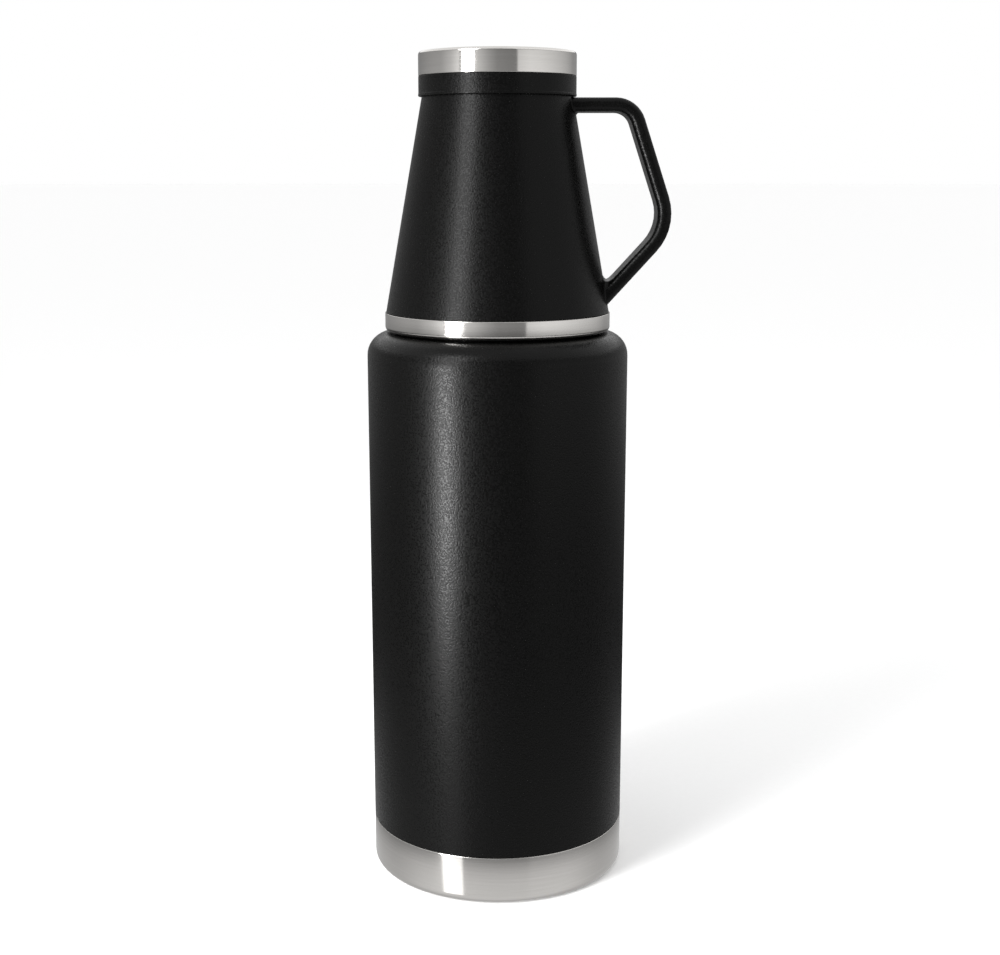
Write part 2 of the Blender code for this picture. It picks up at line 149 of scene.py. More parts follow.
COAT_SEAM = 0.0001
MUG_TOP = top_of("mug_base_cup")
MUG_ROUNDING = 0.0015
MUG_FOOT_IN_R = 0.0266
MUG_FOOT_ROUNDING = 0.0004
MUG_RECESS = 0.0017

STRAP_T = 0.0060
STRAP_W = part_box("mug_handle")[1][1] * 2
STRAP_ROUNDING = 0.0026
STRAP_ARM_Z = MUG_LOW + 0.0963
STRAP_TOP_X = 0.0575
STRAP_TOP_BEND = 0.0100
STRAP_ELBOW = (0.07438, MUG_LOW + 0.0455)
STRAP_ELBOW_BEND = 0.0205
STRAP_LOW_END = (0.0402, MUG_LOW + 0.0080)
STRAP_ROOT_X = 0.0280
STRAP_MESH_STEP = 0.0015
WELD_R = 0.0018
WELD_REACH = 0.0065
WELD_SINK = 0.00006
WELD_ROWS = 6

CAP_R = radius_of("stopper_cap")
CAP_LOW = foot_of("stopper_cap")
CAP_TOP = top_of("stopper_cap")
CAP_WALL = 0.0022
PLUG_R = 0.0245
PLUG_WALL = 0.0020
CAP_ROUNDING = 0.0030
CAP_SIDE_BELOW_TOP = 0.0040
CAP_SIDE_ABOVE_LOW = 0.0010
CAP_SIDE_STEPS = 8
CAP_AROUND = 288
INLAY_R = radius_of("stopper_top_inlay")
RECESS_SLOPE = 0.0004
RECESS_ROUNDING = 0.0003
SIDE_MARGIN = 0.0001
SCOOPS = 12
SCOOP_DEPTH = 0.0011
SCOOP_SHARPNESS = 1.5
SCOOP_LOW = 0.0040
SCOOP_FADE = 0.0025
SEAL_IN_R = 0.0248
SEAL_ROUNDING = 0.0005
FLANGE_ROUNDING = 0.0004
PLUG_ROUNDING = 0.0008


def cone_r(z):
    """Outer radius of the mug's cone at a height."""
    return CONE_RIM_R - CONE_SLOPE * (z - MUG_LOW)


# ---------------------------------------------------------------- outlines

ARC_STEP = radians(9)

def arc(corner, before, after, radius, count):
    """Points of the arc that rounds one corner."""
    back = (before - corner).normalized()
    ahead = (after - corner).normalized()
    half = back.angle(ahead) / 2
    centre = corner + (back + ahead).normalized() * radius / sin(half)
    start = corner + back * radius / tan(half) - centre
    end = corner + ahead * radius / tan(half) - centre
    turn = atan2(start.cross(end), start.dot(end))
    points = []
    for k in range(count + 1):
        c, s = cos(turn * k / count), sin(turn * k / count)
        points.append(centre + Vector((start.x * c - start.y * s, start.x * s + start.y * c)))
    return points


def rounded(corners, closed=True):
    """Outline through corners (a, b) or (a, b, radius), with an arc at each radius."""
    flat = [Vector(c[:2]) for c in corners]
    points = []
    for i, c in enumerate(corners):
        inner = closed or 0 < i < len(corners) - 1
        if len(c) == 2 or not inner:
            points.append(flat[i])
            continue
        before, after = flat[i - 1], flat[(i + 1) % len(flat)]
        turn = pi - (before - flat[i]).angle(after - flat[i])
        steps = max(3, round(turn / ARC_STEP))
        points += arc(flat[i], before, after, c[2], steps)
    return points


def offset(corners, distance):
    """Corners of the parallel path, to the left of the way the path runs."""
    flat = [Vector(c[:2]) for c in corners]
    normals = []
    for a, b in zip(flat, flat[1:]):
        along = (b - a).normalized()
        normals.append(Vector((-along.y, along.x)))
    moved = [(*(flat[0] + normals[0] * distance), EDGE)]
    for i in range(1, len(flat) - 1):
        n1, n2 = normals[i - 1], normals[i]
        place = flat[i] + (n1 + n2) * distance / (1 + n1.dot(n2))
        bend = n1.cross(n2)
        radius = corners[i][2] if len(corners[i]) > 2 else EDGE
        radius = max(radius - distance * (1 if bend > 0 else -1), EDGE)
        moved.append((*place, radius))
    moved.append((*(flat[-1] + normals[-1] * distance), EDGE))
    return moved


def shell(corners, wall):
    """Closed outline of a sheet wall. Its outer path runs down, and the wall lies inward of it.

    An end on the axis has no edge to round.
    """
    path = list(corners)
    back = offset(corners, -wall)
    for i in (0, -1):
        on_axis = corners[i][0] == 0
        path[i] = corners[i][:2] if on_axis else (*corners[i][:2], EDGE)
        back[i] = (0.0, back[i][1]) if on_axis else back[i]
    return rounded(path + back[::-1])


def disc(node):
    """Outline of a flat disc with the place and size of a CAD node."""
    r, high, low = radius_of(node), top_of(node), foot_of(node)
    return rounded([(0, high), (r, high, EDGE), (r, low, EDGE), (0, low)])


# ---------------------------------------------------------------- mesh makers


def new_object(name, bm, sharp=40):
    """Object from a bmesh, shaded smooth across edges under the given angle."""
    bmesh.ops.recalc_face_normals(bm, faces=bm.faces)
    mesh = bpy.data.meshes.new(name)
    bm.to_mesh(mesh)
    bm.free()
    mesh.shade_smooth()
    mesh.set_sharp_from_angle(angle=radians(sharp))
    obj = bpy.data.objects.new(name, mesh)
    bpy.context.scene.collection.objects.link(obj)
    return obj


def threaded(name, root_r, crest_r, start_z):
    """Right-handed helical ridge of trapezoid section, which fades in and out at its ends."""
    steps = round(AROUND * THREAD_TURNS)
    corners = [
        (0, -RIDGE_ROOT_W / 2),
        (crest_r - root_r, -RIDGE_CREST_W / 2, EDGE),
        (crest_r - root_r, RIDGE_CREST_W / 2, EDGE),
        (0, RIDGE_ROOT_W / 2),
    ]
    section = rounded(corners)
    bm = bmesh.new()
    rows = []
    for k in range(steps + 1):
        angle = 2 * pi * THREAD_TURNS * k / steps
        z = start_z + PITCH * THREAD_TURNS * k / steps
        share = min(1.0, (k + 1) / THREAD_RUNOUT, (steps + 1 - k) / THREAD_RUNOUT)
        share = 1 - (1 - share) ** 2
        row = []
        for out, up in section:
            r = root_r + out * share
            row.append(bm.verts.new((r * cos(angle), r * sin(angle), z + up)))
        rows.append(row)
    for a, b in zip(rows, rows[1:]):
        for k in range(len(a)):
            j = (k + 1) % len(a)
            bm.faces.new((a[k], a[j], b[j], b[k]))
    bm.faces.new(rows[0])
    bm.faces.new(rows[-1])
    return new_object(name, bm)


def turned(name, outline, around=AROUND, shape=None):
    """Closed outline in (r, z) spun about Z. shape(r, z, angle) may change a point's radius."""
    bm = bmesh.new()
    rings = []
    for r, z in outline:
        if r == 0:
            rings.append([bm.verts.new((0, 0, z))])
            continue
        ring = []
        for k in range(around):
            angle = 2 * pi * k / around
            radius = shape(r, z, angle) if shape else r
            ring.append(bm.verts.new((radius * cos(angle), radius * sin(angle), z)))
        rings.append(ring)
    for a, b in zip(rings, rings[1:] + rings[:1]):
        for k in range(around):
            j = (k + 1) % around
            corners = [a[k % len(a)], a[j % len(a)], b[j % len(b)], b[k % len(b)]]
            unique = list(dict.fromkeys(corners))
            if len(unique) > 2:
                bm.faces.new(unique)
    return new_object(name, bm)


# ---------------------------------------------------------------- materials


class Nodes:
    """Short way to write a node tree."""

    def __init__(self, name):
        self.material = bpy.data.materials.new(name)
        self.material.use_nodes = True
        self.tree = self.material.node_tree
        self.shader = self.tree.nodes["Principled BSDF"]

    def add(self, kind, values=None, **settings):
        """A node with its settings, and values or links on its inputs."""
        node = self.tree.nodes.new(kind)
        for key, value in settings.items():
            setattr(node, key, value)
        for key, value in (values or {}).items():
            self.put(node, key, value)
        return node

    def put(self, node, key, value):
        """Sets an input to a value, or links another node's output to it."""
        if isinstance(value, bpy.types.NodeSocket):
            self.tree.links.new(value, node.inputs[key])
        else:
            node.inputs[key].default_value = value

    def math(self, operation, *values):
        """Output of a Math node."""
        node = self.add("ShaderNodeMath", operation=operation)
        for i, value in enumerate(values):
            self.put(node, i, value)
        return node.outputs[0]

    def noise(self, vector, scale, detail=2.0, roughness=0.5):
        """Noise around a half."""
        values = {"Vector": vector, "Scale": scale, "Detail": detail, "Roughness": roughness}
        return self.add("ShaderNodeTexNoise", values).outputs["Fac"]

    def stretch(self, vector, scale):
        """Vector scaled on each axis."""
        return self.add("ShaderNodeMapping", {"Vector": vector, "Scale": scale}).outputs[0]

    def spread(self, value, low, high, from_low=0.3, from_high=0.7):
        """Maps a noise to a range."""
        values = {
            "Value": value,
            "From Min": from_low,
            "From Max": from_high,
            "To Min": low,
            "To Max": high,
        }
        return self.add("ShaderNodeMapRange", values).outputs["Result"]

    def mix(self, factor, dark, light):
        """Colour between two colours."""
        node = self.add("ShaderNodeMix", data_type="RGBA")
        self.put(node, 0, factor)
        self.put(node, 6, (*dark, 1.0))
        self.put(node, 7, (*light, 1.0))
        return node.outputs[2]

    def bump(self, height, strength, distance, normal=None):
        """Normal of a bumped surface."""
        values = {"Height": height, "Strength": strength, "Distance": distance}
        if normal:
            values["Normal"] = normal
        return self.add("ShaderNodeBump", values).outputs[0]

    def place(self):
        """Position on the piece, in metres."""
        return self.add("ShaderNodeTexCoord").outputs["Object"]


def powder_coat():
    """Matte black polyester powder: a soft orange peel with a fine grain on it."""
    n = Nodes("powder_coat_fine")
    place = n.place()
    peel = n.noise(place, 520.0, 2.0)
    grain = n.noise(place, 1500.0, 0.0)
    cloud = n.noise(place, 24.0, 3.0)
    n.put(n.shader, "Base Color", n.mix(cloud, (0.0010, 0.0010, 0.0010), (0.0014, 0.0014, 0.0013)))
    n.put(n.shader, "Roughness", n.spread(grain, 0.23, 0.40))
    peeled = n.bump(peel, 0.25, 0.00008)
    n.put(n.shader, "Normal", n.bump(grain, 1.0, 0.00006, peeled))
    n.shader.inputs["Specular IOR Level"].default_value = 0.12
    return n.material


def brushed_steel():
    """Bare stainless steel, brushed round the axis: streaks that are long round and thin in z."""
    n = Nodes("brushed_steel_fine")
    place = n.place()
    fine = n.noise(n.stretch(place, (45.0, 45.0, 7000.0)), 1.0, 3.0, 0.6)
    broad = n.noise(n.stretch(place, (18.0, 18.0, 1100.0)), 1.0, 2.0)
    streaks = n.math("MULTIPLY_ADD", fine, 0.65, n.math("MULTIPLY", broad, 0.35))
    contrast = n.spread(streaks, 0.0, 1.0)
    n.put(n.shader, "Base Color", n.mix(contrast, (0.55, 0.535, 0.515), (0.625, 0.61, 0.59)))
    n.put(n.shader, "Roughness", n.spread(fine, 0.11, 0.16))
    n.put(n.shader, "Normal", n.bump(fine, 0.12, 0.00002))
    tangent = n.add("ShaderNodeTangent", direction_type="RADIAL", axis="Z")
    n.put(n.shader, "Tangent", tangent.outputs[0])
    n.shader.inputs["Metallic"].default_value = 1.0
    n.shader.inputs["Anisotropic"].default_value = 0.75
    n.shader.inputs["Anisotropic Rotation"].default_value = 0.25
    return n.material


def spun_steel():
    """Bare steel of flat discs, turned on a lathe: fine rings about the axis."""
    n = Nodes("spun_steel")
    place = n.place()
    split = n.add("ShaderNodeSeparateXYZ", {"Vector": place})
    x, y = split.outputs[0], split.outputs[1]
    across = n.math("SQRT", n.math("ADD", n.math("MULTIPLY", x, x), n.math("MULTIPLY", y, y)))
    line = n.add("ShaderNodeCombineXYZ", {"X": n.math("MULTIPLY", across, 6000.0)})
    rings = n.noise(line.outputs[0], 1.0, 2.0)
    cloud = n.noise(place, 60.0)
    n.put(n.shader, "Base Color", n.mix(cloud, (0.52, 0.505, 0.485), (0.62, 0.605, 0.585)))
    n.put(n.shader, "Roughness", n.spread(rings, 0.22, 0.34))
    n.put(n.shader, "Normal", n.bump(rings, 0.12, 0.00002))
    n.shader.inputs["Metallic"].default_value = 1.0
    return n.material


def electropolished_steel():
    """Inside of a vessel: satin steel with faint drawing marks along the wall."""
    n = Nodes("inner_steel")
    place = n.place()
    marks = n.noise(n.stretch(place, (700.0, 700.0, 40.0)), 1.0, 2.0)
    cloud = n.noise(place, 30.0)
    n.put(n.shader, "Base Color", n.mix(cloud, (0.50, 0.49, 0.475), (0.60, 0.59, 0.575)))
    n.put(n.shader, "Roughness", n.spread(marks, 0.30, 0.42))
    n.put(n.shader, "Normal", n.bump(marks, 0.10, 0.00002))
    n.shader.inputs["Metallic"].default_value = 1.0
    return n.material


def moulded(name, dark, light, rough, grain_scale, depth):
    """Moulded plastic or rubber with a fine spark-eroded grain."""
    n = Nodes(name)
    place = n.place()
    grain = n.noise(place, grain_scale, 3.0, 0.6)
    cloud = n.noise(place, 40.0)
    n.put(n.shader, "Base Color", n.mix(cloud, dark, light))
    n.put(n.shader, "Roughness", n.spread(grain, *rough))
    n.put(n.shader, "Normal", n.bump(grain, 0.5, depth))
    return n.material


def foam():
    """Rigid foam with open cells."""
    n = Nodes("rigid_foam")
    place = n.place()
    cells = n.add("ShaderNodeTexVoronoi", {"Vector": place, "Scale": 900.0}).outputs["Distance"]
    n.put(n.shader, "Base Color", n.mix(cells, (0.62, 0.58, 0.47), (0.82, 0.79, 0.70)))
    n.put(n.shader, "Normal", n.bump(cells, 0.8, 0.0003))
    n.shader.inputs["Roughness"].default_value = 0.95
    return n.material


def dull_metal(name, dark, light, rough):
    """Small cast or sintered metal piece."""
    n = Nodes(name)
    place = n.place()
    grain = n.noise(place, 1500.0, 4.0, 0.7)
    n.put(n.shader, "Base Color", n.mix(grain, dark, light))
    n.put(n.shader, "Roughness", n.spread(grain, *rough))
    n.put(n.shader, "Normal", n.bump(grain, 0.4, 0.00005))
    n.shader.inputs["Metallic"].default_value = 1.0
    return n.material


def studio_paper():
    """Floor: matte white card."""
    n = Nodes("studio_paper")
    grain = n.noise(n.place(), 300.0, 3.0)
    n.put(n.shader, "Base Color", n.mix(grain, (0.93, 0.93, 0.93), (0.96, 0.96, 0.96)))
    n.shader.inputs["Roughness"].default_value = 0.9
    n.shader.inputs["Specular IOR Level"].default_value = 0.1
    return n.material


# ---------------------------------------------------------------- pieces


def fit(piece, body, nodes, material):
    """Puts a finished piece on its body in place of CAD nodes."""
    piece.data.materials.append(material)
    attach(piece, body)
    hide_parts(*nodes)
    return piece


def bottle(coat, steel, disc_steel, inner_steel):
    """Outer pieces of the bottle."""
    wall = [
        (BOSS_R + GAP, SHOULDER_Z),
        (BODY_TOP_R, SHOULDER_Z, SHOULDER_ROUNDING),
        (BODY_LOW_R, SHELL_LOW),
    ]
    piece = turned("growler_wall", shell(wall, WALL), AROUND_LARGE)
    fit(piece, "growler", ["growler_shell"], coat)
    boss = [
        (NECK_R, NECK_TOP),
        (NECK_R, BOSS_Z, PRESSED_ROUNDING),
        (BOSS_R, BOSS_Z, PRESSED_ROUNDING),
        (BOSS_R, BOSS_LOW),
    ]
    piece = turned("growler_neck", shell(boss, WALL), AROUND_LARGE)
    fit(piece, "growler", ["growler_boss"], coat)
    lip = MOUTH_Z - WALL
    throat = [(NECK_R, lip), (THROAT_R, lip, LIP_ROUNDING), (THROAT_R, THROAT_LOW)]
    piece = turned("growler_mouth", shell(throat, WALL))
    fit(piece, "growler", ["growler_throat"], inner_steel)
    root = THROAT_R - WALL + RIDGE_SINK
    piece = threaded("growler_mouth_thread", root, THROAT_CREST_R, THROAT_THREAD_Z)
    fit(piece, "growler", ["growler_throat"], inner_steel)
    recess = PLATE_TOP + GAP
    ring_in_r = PLATE_R + 2 * GAP + DIMPLE_SLOPE
    cup = [
        (BASE_R, BASE_TOP),
        (BASE_R, 0, BASE_ROUNDING),
        (ring_in_r, 0, BASE_RECESS_ROUNDING),
        (ring_in_r - DIMPLE_SLOPE, recess, EDGE),
        (DIMPLE_R + DIMPLE_SLOPE, recess, EDGE),
        (DIMPLE_R, recess + DIMPLE_DEPTH, EDGE),
        (PORT_R, recess + DIMPLE_DEPTH),
    ]
    piece = turned("growler_base", shell(cup, WALL), AROUND_LARGE)
    fit(piece, "growler", ["growler_base_cup"], steel)
    piece = turned("growler_plate", disc("growler_base_disc"))
    fit(piece, "growler", ["growler_base_disc"], disc_steel)


def grip_ring(silicone):
    """Silicone ring with three soft fins that grip the mug."""
    inner = BOSS_R + GAP
    step = (RING_TOP - RING_LOW) / FINS
    corners = [(inner, RING_TOP), (RING_R, RING_TOP, FIN_ROUNDING)]
    for i in range(1, FINS):
        high = RING_TOP - i * step
        corners.append((RING_R, high + 2 * GROOVE_HALF_H, FIN_ROUNDING))
        corners.append((RING_R - GROOVE_DEPTH, high + GROOVE_HALF_H, GROOVE_ROUNDING))
        corners.append((RING_R, high, FIN_ROUNDING))
    corners += [(RING_R, RING_LOW, FIN_ROUNDING), (inner, RING_LOW)]
    piece = turned("grip_ring_finned", rounded(corners))
    fit(piece, "grip_ring", ["mug_grip_ring"], silicone)


def mug(coat, steel, disc_steel, inner_steel):
    """Turned pieces of the mug."""
    cone = [
        (SPIGOT_R, SPIGOT_TOP),
        (SPIGOT_R, COLLAR_LOW, SPIGOT_ROUNDING),
        (cone_r(CONE_LOW), CONE_LOW),
    ]
    piece = turned("mug_cone", shell(cone, WALL), AROUND_LARGE)
    fit(piece, "mug", ["mug_shell"], coat)
    inner = BAND_R - BAND_WALL
    band = [
        (BAND_R, BAND_TOP, EDGE),
        (BAND_R, MUG_LOW, DRINKING_ROUNDING),
        (LIP_IN_R, MUG_LOW, LIP_IN_ROUNDING),
        (LIP_IN_R, MUG_LOW + LIP_H, EDGE),
        (inner, MUG_LOW + LIP_H, EDGE),
        (inner, BAND_TOP, EDGE),
    ]
    piece = turned("mug_rim", rounded(band), AROUND_LARGE)
    fit(piece, "mug", ["mug_rim_band"], steel)
    liner = [
        (0, LINER_TOP),
        (cone_r(LINER_TOP) - LINER_INSET, LINER_TOP, LINER_ROUNDING),
        (cone_r(LINER_LOW) - LINER_INSET, LINER_LOW),
    ]
    piece = turned("mug_inner_cup", shell(liner, WALL))
    fit(piece, "mug", ["mug_liner"], inner_steel)
    split = COLLAR_COAT_TOP
    collar = [
        (COLLAR_R, split, COLLAR_COAT_ROUNDING),
        (COLLAR_R, COLLAR_LOW + BEAD_H + BEAD_RUN, BEAD_TOP_ROUNDING),
        (COLLAR_R + BEAD_OUT, COLLAR_LOW + BEAD_H, BEAD_ROUNDING),
        (COLLAR_R + BEAD_OUT, COLLAR_LOW, BEAD_ROUNDING),
        (COLLAR_R - COLLAR_WALL, COLLAR_LOW, EDGE),
        (COLLAR_R - COLLAR_WALL, split, EDGE),
    ]
    piece = turned("mug_collar", rounded(collar), AROUND_LARGE)
    fit(piece, "mug", ["mug_base_cup"], coat)
    floor = MUG_TOP - MUG_RECESS
    cup = [
        (PORT_R, floor - DIMPLE_DEPTH),
        (DIMPLE_R, floor - DIMPLE_DEPTH, EDGE),
        (DIMPLE_R + DIMPLE_SLOPE, floor, EDGE),
        (MUG_FOOT_IN_R - DIMPLE_SLOPE, floor, EDGE),
        (MUG_FOOT_IN_R, MUG_TOP, MUG_FOOT_ROUNDING),
        (COLLAR_R, MUG_TOP, MUG_ROUNDING),
        (COLLAR_R, split + COAT_SEAM),
    ]
    piece = turned("mug_base", shell(cup, COLLAR_WALL), AROUND_LARGE)
    fit(piece, "mug", ["mug_base_cup"], steel)
    piece = turned("mug_plate", disc("mug_base_disc"))
    fit(piece, "mug", ["mug_base_disc"], disc_steel)


def strap_line():
    """Centre line of the handle in (x, z)."""
    corners = [
        (STRAP_ROOT_X, STRAP_ARM_Z),
        (STRAP_TOP_X, STRAP_ARM_Z, STRAP_TOP_BEND),
        (*STRAP_ELBOW, STRAP_ELBOW_BEND),
        STRAP_LOW_END,
    ]
    return rounded(corners, closed=False)


def strap_section():
    """Rounded rectangle of the strap in (across, y), across being outward in the bend's plane."""
    half_t, half_w = STRAP_T / 2, STRAP_W / 2
    corners = [
        (half_t, -half_w, STRAP_ROUNDING),
        (half_t, half_w, STRAP_ROUNDING),
        (-half_t, half_w, STRAP_ROUNDING),
        (-half_t, -half_w, STRAP_ROUNDING),
    ]
    outline = rounded(corners)
    points = []
    for a, b in zip(outline, outline[1:] + outline[:1]):
        parts = max(1, round((b - a).length / STRAP_MESH_STEP))
        points += [a.lerp(b, k / parts) for k in range(parts)]
    return points


def on_cone(start, along):
    """Where a line meets the cone, by bisection between its start and a point inside."""
    outside, inside = 0.0, 0.05
    for _ in range(40):
        middle = (outside + inside) / 2
        p = start + along * middle
        if hypot(p.x, p.y) > cone_r(p.z):
            outside = middle
        else:
            inside = middle
    return start + along * outside


def weld_rows(start, along, outward):
    """Points from the strap's surface to the cone's along a small concave fillet."""
    meet = on_cone(start, along)
    normal = Vector((meet.x, meet.y, CONE_SLOPE * hypot(meet.x, meet.y))).normalized()
    slide = (outward - normal * outward.dot(normal)).normalized()
    length = min(WELD_R / tan(slide.angle(-along) / 2) ** 2, WELD_REACH)
    near = meet - along * length
    far = meet + slide * length
    reach = hypot(far.x, far.y)
    sink = (cone_r(far.z) - WELD_SINK) / reach
    far = Vector((far.x * sink, far.y * sink, far.z))
    points = []
    for k in range(WELD_ROWS + 1):
        u = k / WELD_ROWS
        points.append(near * (1 - u) ** 2 + meet * 2 * u * (1 - u) + far * u * u)
    return points


def handle(coat):
    """Strap handle with welded roots that flow into the cone."""
    line = strap_line()
    section = strap_section()
    clear = [p for p in line[1:-1] if p.x > cone_r(p.y) + 2 * WELD_REACH]
    frames = []
    for point in clear:
        i = line.index(point)
        along = (line[i + 1] - line[i - 1]).normalized()
        frames.append((point, Vector((-along.y, along.x))))
    rows = []
    for point, out in frames:
        rows.append([Vector((point.x + out.x * a, y, point.y + out.y * a)) for a, y in section])
    ends = []
    for row, way in ((rows[0], line[0] - line[1]), (rows[-1], line[-1] - line[-2])):
        along = Vector((way.x, 0, way.y)).normalized()
        side = Vector((-along.z, 0, along.x))
        columns = []
        for k, start in enumerate(row):
            step = row[(k + 1) % len(row)] - row[k - 1]
            outward = step.cross(along).normalized()
            middle = sum(row, Vector()) / len(row)
            if outward.dot(start - middle) < 0:
                outward = -outward
            columns.append(weld_rows(start, along, outward))
        ends.append(list(zip(*columns)))
    rows = [*reversed(ends[0]), *rows, *ends[1]]
    bm = bmesh.new()
    made = [[bm.verts.new(p) for p in row] for row in rows]
    count = len(section)
    for a, b in zip(made, made[1:]):
        for k in range(count):
            j = (k + 1) % count
            bm.faces.new((a[k], a[j], b[j], b[k]))
    bm.faces.new(made[0])
    bm.faces.new(made[-1])
    piece = new_object("mug_strap", bm)
    fit(piece, "mug", ["mug_handle"], coat)


def stopper(plastic, silicone, disc_steel):
    """Knob, seal and inlay of the stopper."""

    def scooped(r, z, angle):
        """Grips: shallow scoops in the side, fading out below the skirt and at the top."""
        if r < CAP_R - CAP_WALL + SIDE_MARGIN:
            return r
        wave = max(0.0, cos(SCOOPS * angle)) ** SCOOP_SHARPNESS
        fade = min(1.0, max(0.0, (z - CAP_LOW - SCOOP_LOW) / SCOOP_FADE))
        return r - SCOOP_DEPTH * wave * fade * fade * (3 - 2 * fade)

    recess_r = INLAY_R + 2 * GAP
    floor = foot_of("stopper_top_inlay") - GAP
    high, low = CAP_TOP - CAP_SIDE_BELOW_TOP, CAP_LOW + CAP_SIDE_ABOVE_LOW
    steps = CAP_SIDE_STEPS
    side = [(CAP_R, high + (low - high) * k / steps) for k in range(steps)]
    cap = [
        (0, floor),
        (recess_r, floor, RECESS_ROUNDING),
        (recess_r + RECESS_SLOPE, CAP_TOP, RECESS_SLOPE),
        (CAP_R, CAP_TOP, CAP_ROUNDING),
        *side,
        (CAP_R, CAP_LOW),
    ]
    piece = turned("stopper_knob", shell(cap, CAP_WALL), CAP_AROUND, scooped)
    fit(piece, "stopper", ["stopper_cap"], plastic)
    piece = turned("stopper_inlay", disc("stopper_top_inlay"))
    fit(piece, "stopper", ["stopper_top_inlay"], disc_steel)
    outer = radius_of("stopper_gasket")
    high, low = top_of("stopper_gasket"), foot_of("stopper_gasket")
    seal = [
        (outer, high, SEAL_ROUNDING),
        (outer, low, SEAL_ROUNDING),
        (SEAL_IN_R, low, SEAL_ROUNDING),
        (SEAL_IN_R, high, SEAL_ROUNDING),
    ]
    piece = turned("stopper_seal", rounded(seal))
    fit(piece, "gasket", ["stopper_gasket"], silicone)
    flange_r = radius_of("stopper_plug")
    underside = top_of("stopper_plug") - PLUG_WALL
    low = foot_of("stopper_plug")
    plug = [
        (flange_r, underside),
        (PLUG_R, underside, FLANGE_ROUNDING),
        (PLUG_R, low, PLUG_ROUNDING),
        (0, low),
    ]
    piece = turned("stopper_body", shell(plug, PLUG_WALL))
    fit(piece, "stopper", ["stopper_plug"], plastic)
    start = THROAT_THREAD_Z - THREAD_SEAT
    piece = threaded("stopper_thread", PLUG_R - RIDGE_SINK, PLUG_CREST_R, start)
    fit(piece, "stopper", ["stopper_plug"], plastic)
    piece = turned("stopper_face", disc("stopper_steel_disc"))
    fit(piece, "stopper", ["stopper_steel_disc"], disc_steel)


# ---------------------------------------------------------------- studio

FLOOR_R = 30.0
KEY_DISTANCE = 0.75

# Key lights one above the other: name, azimuth, height, width, tallness and radiance
KEYS = (
    ("key_foot", -40.5, -0.27, 0.25, 0.42, 1.2),
    ("key_low", -44.5, 0.08, 0.14, 0.28, 52.0),
    ("key_top", -42, 0.40, 0.22, 0.36, 12.5),
    ("key_high", -44, 0.84, 0.36, 0.52, 9.5),
)
SUN_ENERGY = 2.65
SUN_ANGLE = radians(130)
SUN_TILT = radians(-14)
SUN_Z = 2.0

CAMERA_PLACE = (0.0011, -0.6978, 0.3146)
CAMERA_DOWN = radians(11.07)
CAMERA_LENS = 57.15
SENSOR_W = 36.0

def softbox(name, azimuth, height, width, tall, radiance):
    """Rectangular light that faces the axis. Azimuth 0 is the camera's side and 90 is +X."""
    data = bpy.data.lights.new(name, "AREA")
    data.shape = "RECTANGLE"
    data.size = width
    data.size_y = tall
    data.energy = radiance * pi * width * tall
    light = bpy.data.objects.new(name, data)
    turn = radians(azimuth)
    light.location = (KEY_DISTANCE * sin(turn), -KEY_DISTANCE * cos(turn), height)
    way = Vector((0, 0, height)) - light.location
    light.rotation_mode = "QUATERNION"
    light.rotation_quaternion = way.to_track_quat("-Z", "Y")
    light.visible_camera = False
    bpy.context.scene.collection.objects.link(light)


# Brightness of the studio round the object: azimuth in degrees from the camera's side towards
# +X, and radiance. Two cards end in sharp edges.
SURROUND = (
    (-180, 0.30),
    (-150, 0.34),
    (-125, 0.46),
    (-108, 0.53),
    (-88, 0.58),
    (-70, 0.86),
    (-60, 1.14),
    (-56.5, 1.20),
    (-55.8, 0.33),
    (-50, 0.40),
    (-34, 0.92),
    (-24, 0.84),
    (-11, 0.57),
    (0, 0.40),
    (18, 0.35),
    (28.2, 0.34),
    (29.0, 1.08),
    (48, 1.24),
    (65, 1.18),
    (83, 1.04),
    (105, 0.85),
    (120, 0.70),
    (140, 0.44),
    (180, 0.30),
)

# Share of that brightness by the sine of the elevation
HEIGHTS = (
    (-1, 0),
    (-0.30, 0.06),
    (-0.20, 0.28),
    (-0.09, 1),
    (0.06, 0.88),
    (0.36, 0.64),
    (0.60, 0.30),
    (1, 0.15),
)

# The floor's glow below the horizon, by the sine of the elevation, and its share by y
GLOW = {"From Min": -0.42, "From Max": -0.31, "To Min": 0.84, "To Max": 0.0}
GLOW_ASIDE = {"From Min": -0.45, "From Max": 0.40, "To Min": 1.0, "To Max": 0.70}


